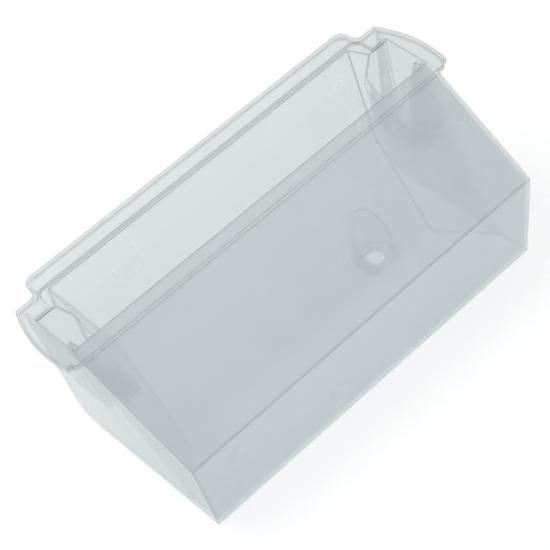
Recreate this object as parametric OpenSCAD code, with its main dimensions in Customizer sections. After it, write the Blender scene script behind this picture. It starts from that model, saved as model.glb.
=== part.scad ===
// Clear water tank that hangs in a refrigerator door, moulded as one piece.
// X runs along the tank, +Y points to its back (the door side), and Z is up.
// The origin is on the standing surface, under the middle of the tank's box.

/* [Overall] */
// Height from the standing surface to the top of the rim
tank_h = 142; // [130:1:155]
// Depth from the front wall to the rim's back edge
tank_d = 200; // [190:1:210]
// Thickness of every wall
wall = 2.5; // [2:0.1:3]

/* [Rim] */
// Half of the length between the outer sides of the rim's narrow back part
rim_back_x = 178.5; // [176:0.5:182]
// Half of the length between the wings' sharp back corners
wing_corner_x = 200; // [198:0.5:204]
// Distance from the rim's back edge to the wings' back corners
wing_back = 19; // [17:0.5:21]
// Radius of the wings' curved outer edge
wing_r = 112; // [105:1:125]
// Depth from the rim's back edge to its front edge
rim_d = 98.5; // [94:0.5:102]
// Width of the rim along the back
rim_back_w = 18; // [15:0.5:20]
// Width of the rim along the front
rim_front_w = 14; // [12:0.5:16]
// Height of the lip that hangs from the rim's edge
lip_h = 5.5; // [4:0.5:8]
// Height of the mouth's upright edge
mouth_edge_h = 2.5; // [2:0.5:4]
// Radius of the rim's rounded back corners
rim_r = 9; // [6:1:12]

/* [Body] */
// Half of the body's length just under the rim
body_top_x = 197.5; // [195:0.5:198]
// Half of the body's length at the floor
body_floor_x = 181.5; // [178:0.5:186]
// Height of the front crease over the standing surface
crease_z = 82; // [76:1:88]
// Distance from the rim's front edge in to the top of the sloping front
slope_top_in = 2.2; // [1.5:0.1:3.5]
// Lean of the back wall from upright
back_lean = 37.2; // [36:0.1:38]
// Half of the back wall's length
back_x = 146; // [140:1:150]
// Radius of the bend between the back wall and the floor
back_r = 8; // [4:1:12]
// Height of the corner where the back wall and both panels meet
panel_z = 81; // [76:1:86]
// Angle of the lower corner panels, seen from above, from the back wall
panel_turn = 53; // [50:1:56]
// Lean of the lower corner panels from upright
panel_lean = 25.5; // [24:0.5:27]
// Angle of the flared upper panels, seen from above, from the back wall
flare_turn = 67; // [64:1:70]
// Lean of the flared upper panels from upright
flare_lean = 32; // [30:0.5:34]

/* [Side pockets] */
// Half of the length between the inner sides of the side pockets
side_pocket_x = 164.5; // [160:0.5:170]
// Distance from the rim's back edge to the side pockets' back wall
side_pocket_back = 38; // [36:1:42]
// Width of the side pockets from back to front
side_pocket_w = 35; // [30:1:40]
// Depth of the side pockets under the rim
side_pocket_depth = 76; // [74:1:84]
// Lean of the side pockets' back wall from upright
side_pocket_lean = 12; // [8:1:14]

/* [Ribs] */
// Half of the length between the inner ends of the ribs
rib_x = 163.5; // [158:0.5:168]
// Distance from the rim's back edge to the upper rib's front edge
rib_back = 106; // [102:0.5:108]
// Height of the upper rib's middle under the rim
rib_depth = 51; // [48:0.5:54]
// Drop from the upper rib to the lower one
rib_drop = 9.5; // [8:0.5:12]
// Step forward from the upper rib to the lower one
rib_step = 4.5; // [3:0.5:6]
// Thickness of the ribs
rib_t = 1.8; // [1.5:0.1:2.5]

/* [Side plates] */
// Distance from the rim's back edge to a side plate's back edge at the top
plate_back_top = 26; // [25:1:30]
// Distance from the rim's back edge to a side plate's back edge at the foot
plate_back_foot = 36; // [34:1:42]
// Radius of a side plate's lower back corner
plate_r = 20; // [14:1:24]

/* [Outlet] */
// Distance of the outlet from the tank's middle, to the right
outlet_x = 92; // [88:1:98]
// Distance of the outlet from the rim's back edge
outlet_back = 105.5; // [102:0.5:107]
// Inner radius of the outlet well
well_r = 16.5; // [15:0.5:18]
// Radius of the outlet hole
outlet_r = 8.5; // [6:0.5:10]

/* [Hidden] */
$fn = 64;
shell_color = [0.80, 0.85, 0.87, 0.55];
far = 600;
back_y = tank_d / 2;
front_y = -tank_d / 2;
rim_front_y = back_y - rim_d;
mouth_back_y = back_y - rim_back_w;
mouth_front_y = rim_front_y + rim_front_w;
slope_top_y = rim_front_y + slope_top_in;
wing_y = back_y - wing_back;
over = 2;
plate_from = 20;
notch_r = 8;
wing_corner_r = 4;
wing_mid_y = back_y - 70;
wing_mid_x = wing_corner_x - sqrt(pow(wing_r, 2) - pow(wing_y - wing_mid_y, 2));
wing_front_x = wing_corner_x + 1;
side_pocket_y = back_y - side_pocket_back;
body_taper = (body_top_x - body_floor_x) / tank_h;
panel_y = mouth_back_y - tan(back_lean) * (tank_h - panel_z);
outlet_y = back_y - outlet_back;
top_z = tank_h - mouth_edge_h / 2;
well_h = tank_h - (mouth_back_y - outlet_y - well_r) / tan(back_lean);

// Points along an arc about [x, y], from one angle to another.
function arc(x, y, r, from, to) =
    [for (step = [0:8]) let (a = from + (to - from) * step / 8) [x + r * cos(a), y + r * sin(a)]];

// The body's section in depth and height. in is how far it lies inside the outer faces.
module body_section(in) {
    slope_angle = atan2(tank_h - crease_z, slope_top_y - front_y);
    slope_in = in / cos(slope_angle);
    crease_in_z = crease_z - slope_in + in * tan(slope_angle);
    top_front_y = front_y + in + (top_z - crease_in_z) / tan(slope_angle);
    back_in_y = mouth_back_y + (wall - in) / cos(back_lean);
    top_back_y = back_in_y - (tank_h - top_z) * tan(back_lean);
    floor_y = back_in_y - (tank_h - in) * tan(back_lean);
    bend_r = back_r + wall - in;
    bend_turn = 90 - back_lean;
    bend_y = floor_y - bend_r * tan(bend_turn / 2);
    polygon(concat(
        [[front_y + in, in]],
        arc(bend_y, in + bend_r, bend_r, -90, -back_lean),
        [[top_back_y, top_z], [top_front_y, top_z], [front_y + in, crease_in_z]]
    ));
}

// The space between the two leaning end walls, in depth from y_from to y_to.
module between_ends(in, y_from, y_to) {
    low_x = body_floor_x - in;
    high_x = body_top_x - in + over * body_taper;
    translate([0, y_to, 0])
        rotate([90, 0, 0])
            linear_extrude(y_to - y_from)
                polygon([[-low_x, 0], [low_x, 0], [high_x, tank_h + over], [-high_x, tank_h + over]]);
}

// Everything behind a plane through the right-hand corner, moved back by out.
module behind_panel(turn, lean, out) {
    translate([back_x, panel_y, panel_z])
        rotate([0, 0, -turn])
            rotate([-lean, 0, 0])
                translate([-far, out, -far])
                    cube([2 * far, far, 2 * far]);
}

// The main chamber, whose back corners are cut by a lower panel and a flared upper one.
module chamber(in) {
    difference() {
        intersection() {
            rotate([90, 0, 90])
                linear_extrude(2 * far, center = true)
                    body_section(in);
            between_ends(in, front_y, back_y);
        }
        for (side = [0, 1])
            mirror([side, 0, 0])
                intersection() {
                    behind_panel(panel_turn, panel_lean, wall - in);
                    behind_panel(flare_turn, flare_lean, wall - in);
                }
    }
}

// The mouth seen from above, drawn larger by grow.
module mouth_plan(grow) {
    low_y = mouth_front_y - grow;
    round_x = rim_back_x - rim_r;
    step_y = side_pocket_y + grow;
    for (side = [0, 1])
        mirror([side, 0]) {
            translate([0, low_y])
                square([round_x, mouth_back_y + grow - low_y]);
            translate([0, low_y])
                square([rim_back_x + grow, mouth_back_y - rim_r - low_y]);
            translate([round_x, mouth_back_y - rim_r])
                circle(rim_r + grow);
            translate([0, low_y])
                square([far, step_y - low_y]);
        }
}

// The mouth's short upright edge, drawn smaller by in.
module throat(in) {
    throat_z = tank_h - mouth_edge_h - wall + in;
    intersection() {
        between_ends(in, front_y, back_y);
        translate([0, 0, throat_z])
            linear_extrude(tank_h + over - throat_z)
                mouth_plan(wall - in);
    }
}

// The right-hand side pocket, where the tank hangs in the door.
module side_pocket(in) {
    grow = wall - in;
    pocket_z = tank_h - side_pocket_depth - grow;
    intersection() {
        between_ends(in, 0, back_y);
        translate([side_pocket_x - grow, side_pocket_y, tank_h])
            rotate([-side_pocket_lean, 0, 0])
                translate([0, -side_pocket_w - grow, -far])
                    cube([far, side_pocket_w + 2 * grow, far + rim_r]);
        translate([0, 0, pocket_z])
            cube([far, far, top_z - pocket_z]);
    }
}

// The right-hand side plate: the end wall's own plane, carried on to the back.
module side_plate() {
    intersection() {
        difference() {
            between_ends(0, front_y + plate_from, back_y);
            between_ends(wall, front_y, back_y + over);
        }
        rotate([90, 0, 90])
            linear_extrude(far)
                side_plate_outline();
    }
}

// The side plate seen from the end, with its rounded lower back corner.
module side_plate_outline() {
    top_y = back_y - plate_back_top;
    foot_y = back_y - plate_back_foot;
    lean = atan2(top_y - foot_y, tank_h);
    corner_y = foot_y + tan(lean) * plate_r - plate_r / cos(lean);
    polygon(concat(
        [[front_y + plate_from, 0]],
        arc(corner_y, plate_r, plate_r, -90, -lean),
        [[top_y - tan(lean) * (tank_h - top_z), top_z],
         [mouth_front_y, top_z],
         [front_y + plate_from, crease_z - plate_r]]
    ));
}

// The rim's outline from above, drawn smaller by in.
module rim_plan(in) {
    low_y = mouth_front_y;
    round_x = rim_back_x - in - rim_r;
    translate([-rim_back_x + in, low_y])
        square([2 * (rim_back_x - in), back_y - low_y - rim_r - in]);
    translate([-round_x, low_y])
        square([2 * round_x, back_y - low_y - in]);
    for (side = [0, 1])
        mirror([side, 0]) {
            translate([round_x, back_y - in - rim_r])
                circle(rim_r);
            wing_plan(in);
        }
}

// One wing: a strip across the rim, rounded by the large circle and at its front corner.
module wing_plan(in) {
    low_y = rim_front_y + in;
    top_y = wing_y - in;
    intersection() {
        translate([wing_mid_x, wing_mid_y])
            circle(wing_r - in);
        union() {
            translate([0, low_y + wing_corner_r])
                square([far, top_y - low_y - wing_corner_r]);
            translate([0, low_y])
                square([wing_front_x, 2 * wing_corner_r]);
            translate([wing_front_x, low_y + wing_corner_r])
                circle(wing_corner_r);
        }
    }
    difference() {
        translate([rim_back_x - in - over, top_y - over])
            square(notch_r + over);
        translate([rim_back_x - in + notch_r, top_y + notch_r])
            circle(notch_r);
    }
}

// The flat rim with the lip that hangs from its edge.
module rim() {
    translate([0, 0, tank_h - wall])
        linear_extrude(wall)
            rim_plan(0);
    translate([0, 0, tank_h - lip_h])
        linear_extrude(lip_h)
            difference() {
                rim_plan(0);
                rim_plan(wall);
            }
}

// The right-hand pair of ribs that stand out from the corner panel.
module ribs() {
    for (level = [0, 1])
        translate([
            rib_x,
            back_y - rib_back - level * rib_step,
            tank_h - rib_depth - level * rib_drop - rib_t / 2
        ])
            cube([far, far, rib_t]);
}

// The round well at the outlet, drawn smaller by in.
module well(in) {
    translate([outlet_x, outlet_y, in])
        cylinder(h = well_h, r = well_r + wall - in);
}

// What the well may not pass: the inner face of the leaning back wall.
module well_cover() {
    intersection() {
        well(0);
        rotate([90, 0, 90])
            linear_extrude(far)
                polygon([
                    [mouth_back_y, tank_h],
                    [mouth_back_y - tan(back_lean) * tank_h, 0],
                    [back_y, 0],
                    [back_y, tank_h]
                ]);
    }
}

// Everything that the tank's outer faces enclose.
module outside() {
    chamber(0);
    throat(0);
    rim();
    well_cover();
    for (side = [0, 1])
        mirror([side, 0, 0]) {
            side_pocket(0);
            side_plate();
        }
}

// The space inside, with the ribs left standing in it.
module inside() {
    difference() {
        chamber(wall);
        for (side = [0, 1])
            mirror([side, 0, 0])
                ribs();
    }
    throat(wall);
    well(wall);
    for (side = [0, 1])
        mirror([side, 0, 0])
            side_pocket(wall);
}

module tank() {
    color(shell_color)
        difference() {
            outside();
            inside();
            translate([outlet_x, outlet_y, -over])
                cylinder(h = wall + 2 * over, r = outlet_r);
            translate([-far, -far, tank_h])
                cube([2 * far, 2 * far, far]);
        }
}

tank();
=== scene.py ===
# %% [markdown]
# A clear water tank for a refrigerator door
#
# The real object is one piece of clear moulded plastic: a long tank with a sloping front, a back wall
# that leans out over the door, a pocket at each end, and a flat winged rim that it hangs by. The CAD
# model holds all of this form but one detail of the front lip. This lesson gives it what the CAD
# leaves out: that lip, softened edges, a clear plastic that is slightly milky, and the pale studio
# light that clear plastic needs.

from math import radians

import bmesh
import bpy
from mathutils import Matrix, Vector


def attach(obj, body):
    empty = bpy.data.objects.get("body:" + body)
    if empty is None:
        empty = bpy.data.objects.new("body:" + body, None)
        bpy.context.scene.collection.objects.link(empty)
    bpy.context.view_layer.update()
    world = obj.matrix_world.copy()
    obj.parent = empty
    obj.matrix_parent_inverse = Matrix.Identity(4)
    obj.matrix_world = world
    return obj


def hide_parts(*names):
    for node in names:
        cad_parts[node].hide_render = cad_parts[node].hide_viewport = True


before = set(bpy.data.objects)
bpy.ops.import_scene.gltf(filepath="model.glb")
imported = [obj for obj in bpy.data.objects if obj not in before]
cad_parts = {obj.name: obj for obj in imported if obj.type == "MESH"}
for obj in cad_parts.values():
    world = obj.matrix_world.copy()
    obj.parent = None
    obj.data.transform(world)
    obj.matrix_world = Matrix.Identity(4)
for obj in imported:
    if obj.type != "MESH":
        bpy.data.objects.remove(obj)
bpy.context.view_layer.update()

# %% [markdown]
# The camera
#
# The photograph was taken from in front, to the left and above, with a long lens. The place and the
# turn below come from fitting straight edges of the tank to lines in the photograph. A long lens
# keeps the two ends of the tank at nearly the same scale.

# %% Camera
CAMERA_PLACE = (-0.608672, -0.873257, 1.309277)
CAMERA_TURN = (39.823, 8.0535, -43.9826)
camera_data = bpy.data.cameras.new("camera")
camera_data.sensor_width = 36.0
camera_data.lens = 130.9
camera = bpy.data.objects.new("camera", camera_data)
camera.location = CAMERA_PLACE
camera.rotation_euler = [radians(angle) for angle in CAMERA_TURN]
bpy.context.scene.collection.objects.link(camera)
bpy.context.scene.camera = camera
print("camera", round(camera.location.length, 3), "m from the tank's foot")

# %% [markdown]
# The tank with softened edges
#
# A moulded edge is never sharp: the steel mould has a small radius, and in clear plastic that radius
# is what draws each edge as a fine bright or dark line. The form could be built again with curves,
# but the CAD mesh already has the walls in their places. So the piece starts from a copy of it. The
# copy is merged and its flat faces are joined.

# %% Join the flat faces of a copy
MERGE_WITHIN = 2e-6
FLAT_WITHIN = radians(0.5)
shell = bmesh.new()
shell.from_mesh(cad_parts["tank"].data)
bmesh.ops.remove_doubles(shell, verts=shell.verts, dist=MERGE_WITHIN)
bmesh.ops.dissolve_limit(shell, angle_limit=FLAT_WITHIN, verts=shell.verts, edges=shell.edges)
print(len(shell.verts), "corners and", len(shell.faces), "flat faces")

# %% [markdown]
# The front lip
#
# Along the front of the rim the photograph shows two dark lines a few pixels apart: the lip stands at
# its full height there, and the sloping front starts at its foot. In the CAD form the slope starts
# higher. So the slope's top corners come down along the end walls, on the outside and on the inside,
# and both faces stay flat.

# %% Let the slope start at the lip's foot
SLOPE_TOPS = {(0.1974, 0.0015, 0.1407): (-0.00039, 0.0, -0.00343),
              (0.1949, 0.0065, 0.1407): (-0.0004, 0.0, -0.00356)}
NEAR = 0.0003
lowered = 0
for corner in shell.verts:
    side = 1 if corner.co.x > 0 else -1
    for (x, y, z), (dx, dy, dz) in SLOPE_TOPS.items():
        if (corner.co - Vector((side * x, y, z))).length < NEAR:
            corner.co += Vector((side * dx, dy, dz))
            lowered += 1
            break
print(lowered, "corners of the slope lowered to the lip's foot")

# %% [markdown]
# Faces without notches
#
# A face with a notch in it folds over itself when its edges are bevelled, so each one is split first.

# %% Split the notched faces
bmesh.ops.connect_verts_concave(shell, faces=shell.faces)
open_edges = [edge for edge in shell.edges if not edge.is_manifold]
print(len(shell.faces), "faces,", len(open_edges), "open edges")

# %% Soften the edges
SHARP_FROM = radians(24)
EDGE_SOFTNESS = 0.0006
rounded = shell.faces.layers.float.new("rounded")
sharp = [edge for edge in shell.edges if edge.is_manifold and edge.calc_face_angle() > SHARP_FROM]
area_before = sum(face.calc_area() for face in shell.faces)
softened = bmesh.ops.bevel(shell, geom=sharp, offset=EDGE_SOFTNESS, affect="EDGES", segments=3,
                           profile=0.5, material=-1)
for face in softened["faces"]:
    face[rounded] = 1.0
area_after = sum(face.calc_area() for face in shell.faces)
for face in shell.faces:
    face.smooth = True
print(len(sharp), "edges softened, which takes", round((area_before - area_after) * 1e4, 1),
      "square centimetres off the skin;", len(shell.faces), "faces")

# %% Make it a piece
shell_mesh = bpy.data.meshes.new("tank_shell")
shell.to_mesh(shell_mesh)
shell.free()
tank_shell = bpy.data.objects.new("tank_shell", shell_mesh)
bpy.context.scene.collection.objects.link(tank_shell)
tank_shell.modifiers.new("flat faces stay flat", "WEIGHTED_NORMAL")
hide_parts("tank")
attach(tank_shell, "root")

# %% [markdown]
# Clear plastic
#
# A glass shader bends light strongly at every edge, and this tank's thin walls hardly bend it. What
# the eye reads in them is three other things. They are slightly milky, so each wall adds a little
# light of its own and lowers the contrast of what lies behind it. A wall that is seen at a grazing
# angle is seen through more plastic, so it looks deeper in colour. The rounded edges get a much
# deeper colour still. Part of that is the longer path through plastic, and part is painted shade that
# stands in for the dark lines which refraction and total internal reflection draw along the edges of
# clear plastic. And the polished skin mirrors the room, more so at a grazing angle. So three simple
# shaders are mixed: a transparent one, a milky one and a glossy one. The mirror's share is worked out
# from the angle alone. A Fresnel node would take the far side of a wall for plastic seen from within,
# where it mirrors everything past an angle of about 42 degrees, although these rays go straight on.
# Slow waves and a faint unevenness in the polish come from noise, because moulded sheet is never
# perfect. For the lamps' own rays the tank is a weaker filter, so that its shadow stays as light as a
# clear thing's.

# %% Small helpers for materials
def add_node(tree, kind, **settings):
    node = tree.nodes.new(kind)
    for name, value in settings.items():
        setattr(node, name, value)
    return node


def pattern(tree, place, scale, detail):
    noise = add_node(tree, "ShaderNodeTexNoise")
    noise.inputs["Scale"].default_value = scale
    noise.inputs["Detail"].default_value = detail
    tree.links.new(place, noise.inputs["Vector"])
    return noise.outputs["Fac"]


def ramp(tree, value, low, high, start=0.3, end=0.7):
    colors = add_node(tree, "ShaderNodeValToRGB")
    colors.color_ramp.elements[0].position = start
    colors.color_ramp.elements[0].color = low
    colors.color_ramp.elements[1].position = end
    colors.color_ramp.elements[1].color = high
    tree.links.new(value, colors.inputs["Fac"])
    return colors.outputs["Color"]


def spread(tree, value, low, high):
    span = add_node(tree, "ShaderNodeMapRange")
    span.inputs["From Min"].default_value = 0.1
    span.inputs["From Max"].default_value = 0.9
    span.inputs["To Min"].default_value = low
    span.inputs["To Max"].default_value = high
    tree.links.new(value, span.inputs["Value"])
    return span.outputs["Result"]


def mix(tree, share, first, second):
    both = add_node(tree, "ShaderNodeMixShader")
    if isinstance(share, float):
        both.inputs["Fac"].default_value = share
    else:
        tree.links.new(share, both.inputs["Fac"])
    tree.links.new(first, both.inputs[1])
    tree.links.new(second, both.inputs[2])
    return both.outputs[0]


# %% Clear plastic
def clear_plastic():
    material = bpy.data.materials.new("clear_plastic")
    material.use_nodes = True
    tree = material.node_tree
    tree.nodes.clear()
    place = add_node(tree, "ShaderNodeTexCoord").outputs["Object"]

    waves = add_node(tree, "ShaderNodeBump")
    waves.inputs["Strength"].default_value = 0.08
    waves.inputs["Distance"].default_value = 0.0005
    tree.links.new(pattern(tree, place, 11.0, 0.0), waves.inputs["Height"])

    grazing = add_node(tree, "ShaderNodeLayerWeight")
    grazing.inputs["Blend"].default_value = 0.5
    through = ramp(tree, grazing.outputs["Facing"], (0.93, 0.945, 0.95, 1), (0.80, 0.83, 0.84, 1),
                   0.4, 1.0)
    # The rounded edges' darker see-through colour is partly the longer path through plastic and partly
    # painted shade for the dark lines that refraction draws along the edges of clear plastic.
    edge = add_node(tree, "ShaderNodeAttribute", attribute_name="rounded").outputs["Fac"]
    edge_tint_and_painted_shade = add_node(tree, "ShaderNodeMix", data_type="RGBA")
    tree.links.new(edge, edge_tint_and_painted_shade.inputs["Factor"])
    tree.links.new(through, edge_tint_and_painted_shade.inputs["A"])
    edge_tint_and_painted_shade.inputs["B"].default_value = (0.55, 0.585, 0.595, 1)
    see_through = add_node(tree, "ShaderNodeBsdfTransparent")
    tree.links.new(edge_tint_and_painted_shade.outputs["Result"], see_through.inputs["Color"])

    cloud = ramp(tree, pattern(tree, place, 7.0, 1.0), (0.655, 0.687, 0.698, 1),
                 (0.715, 0.747, 0.758, 1), 0.1, 0.9)
    lit = add_node(tree, "ShaderNodeBsdfDiffuse")
    tree.links.new(cloud, lit.inputs["Color"])
    glowing = add_node(tree, "ShaderNodeBsdfTranslucent")
    tree.links.new(cloud, glowing.inputs["Color"])
    milk = mix(tree, 0.5, lit.outputs[0], glowing.outputs[0])
    milkiness = spread(tree, pattern(tree, place, 16.0, 1.0), 0.30, 0.37)
    body = mix(tree, milkiness, see_through.outputs[0], milk)

    skin = add_node(tree, "ShaderNodeBsdfGlossy")
    skin.inputs["Color"].default_value = (1, 1, 1, 1)
    tree.links.new(spread(tree, pattern(tree, place, 38.0, 1.0), 0.07, 0.16), skin.inputs["Roughness"])
    tree.links.new(waves.outputs["Normal"], skin.inputs["Normal"])
    steep = add_node(tree, "ShaderNodeMath", operation="POWER")
    tree.links.new(grazing.outputs["Facing"], steep.inputs[0])
    steep.inputs[1].default_value = 5.0
    mirror_share = add_node(tree, "ShaderNodeMath", operation="MULTIPLY_ADD")
    tree.links.new(steep.outputs[0], mirror_share.inputs[0])
    mirror_share.inputs[1].default_value = 0.6
    mirror_share.inputs[2].default_value = 0.04
    plastic = mix(tree, mirror_share.outputs[0], body, skin.outputs[0])

    rays = add_node(tree, "ShaderNodeLightPath")
    lamp_filter = add_node(tree, "ShaderNodeBsdfTransparent")
    lamp_filter.inputs["Color"].default_value = (0.87, 0.88, 0.885, 1)
    finished = mix(tree, rays.outputs["Is Shadow Ray"], plastic, lamp_filter.outputs[0])
    surface = add_node(tree, "ShaderNodeOutputMaterial")
    tree.links.new(finished, surface.inputs["Surface"])
    return material


shell_mesh.materials.append(clear_plastic())
print("the tank's finish:", [material.name for material in shell_mesh.materials])

# %% [markdown]
# The floor
#
# The photograph's background is white, and the tank stands on it in its own soft shadow. A white
# floor lit to full white would need so much light that the tank would wash out. Instead the floor
# glows a little for the camera and for rays that reach it through the plastic or off it, and its
# ordinary diffuse part keeps the shadow. Light that the floor bounces back to the tank comes from
# its plain side only.

# %% Floor
FLOOR_DROP = 0.0004
disc = bmesh.new()
bmesh.ops.create_circle(disc, cap_ends=True, radius=7.0, segments=64)
bmesh.ops.translate(disc, verts=disc.verts, vec=(0, 0, -FLOOR_DROP))
floor_mesh = bpy.data.meshes.new("floor")
disc.to_mesh(floor_mesh)
disc.free()
floor = bpy.data.objects.new("floor", floor_mesh)
bpy.context.scene.collection.objects.link(floor)


def seen_rays(tree):
    rays = add_node(tree, "ShaderNodeLightPath")
    most = rays.outputs["Is Camera Ray"]
    for name in ("Is Glossy Ray", "Is Transmission Ray"):
        either = add_node(tree, "ShaderNodeMath", operation="MAXIMUM")
        tree.links.new(most, either.inputs[0])
        tree.links.new(rays.outputs[name], either.inputs[1])
        most = either.outputs[0]
    return most


def pale_floor():
    material = bpy.data.materials.new("pale_floor")
    material.use_nodes = True
    tree = material.node_tree
    tree.nodes.clear()
    plain = add_node(tree, "ShaderNodeBsdfDiffuse")
    plain.inputs["Color"].default_value = (0.8, 0.8, 0.8, 1)
    shaded = add_node(tree, "ShaderNodeBsdfDiffuse")
    shaded.inputs["Color"].default_value = (0.76, 0.76, 0.76, 1)
    glow = add_node(tree, "ShaderNodeEmission")
    glow.inputs["Strength"].default_value = 0.30
    both = add_node(tree, "ShaderNodeAddShader")
    tree.links.new(shaded.outputs[0], both.inputs[0])
    tree.links.new(glow.outputs[0], both.inputs[1])
    choose = add_node(tree, "ShaderNodeMixShader")
    tree.links.new(seen_rays(tree), choose.inputs["Fac"])
    tree.links.new(plain.outputs[0], choose.inputs[1])
    tree.links.new(both.outputs[0], choose.inputs[2])
    surface = add_node(tree, "ShaderNodeOutputMaterial")
    tree.links.new(choose.outputs[0], surface.inputs["Surface"])
    return material


floor_mesh.materials.append(pale_floor())
print("floor", round(floor.dimensions.x, 1), "m across")

# %% [markdown]
# Light for clear plastic
#
# Clear things show only what is behind them and what they mirror. On a white floor with white all
# round they would vanish, so the room above is a soft grey that is paler near the horizon: it gives
# the edges something darker to show against. One wide lamp above and behind the tank throws the soft
# shadow forward, and a weaker one from the front left lifts the face that the camera sees.

# %% Lights
def lamp(name, place, size, power):
    data = bpy.data.lights.new(name, "AREA")
    data.shape = "SQUARE"
    data.size = size
    data.energy = power
    thing = bpy.data.objects.new(name, data)
    thing.location = place
    thing.rotation_euler = (-thing.location).to_track_quat("-Z", "Y").to_euler()
    bpy.context.scene.collection.objects.link(thing)
    print(name, "lamp of", power, "W at", place)


lamp("key", (-0.7, 0.9, 1.8), 1.0, 17.0)
lamp("fill", (-1.3, -1.6, 1.3), 1.4, 2.0)

world = bpy.data.worlds.new("room")
bpy.context.scene.world = world
world.use_nodes = True
room = world.node_tree
room.nodes.clear()
direction = add_node(room, "ShaderNodeTexCoord").outputs["Generated"]
split = add_node(room, "ShaderNodeSeparateXYZ")
room.links.new(direction, split.inputs[0])
shade = ramp(room, split.outputs["Z"], (0.84, 0.84, 0.84, 1), (0.64, 0.64, 0.64, 1))
light = add_node(room, "ShaderNodeBackground")
room.links.new(shade, light.inputs["Color"])
sky = add_node(room, "ShaderNodeOutputWorld")
room.links.new(light.outputs[0], sky.inputs["Surface"])
bpy.context.scene.view_settings.view_transform = "Standard"

# %% [markdown]
# How many walls a ray may pass
#
# Each wall of the tank is two surfaces, and a line of sight crosses up to seven walls where the
# pockets and the corners overlap. Past the usual limit of eight surfaces a ray comes back black. Few
# rays get that far here, so the raised limit changes the picture by a few grey levels at most.

# %% See through every wall
MOST_SURFACES = 32
bpy.context.scene.cycles.transparent_max_bounces = MOST_SURFACES
print("rays may pass", MOST_SURFACES, "surfaces")
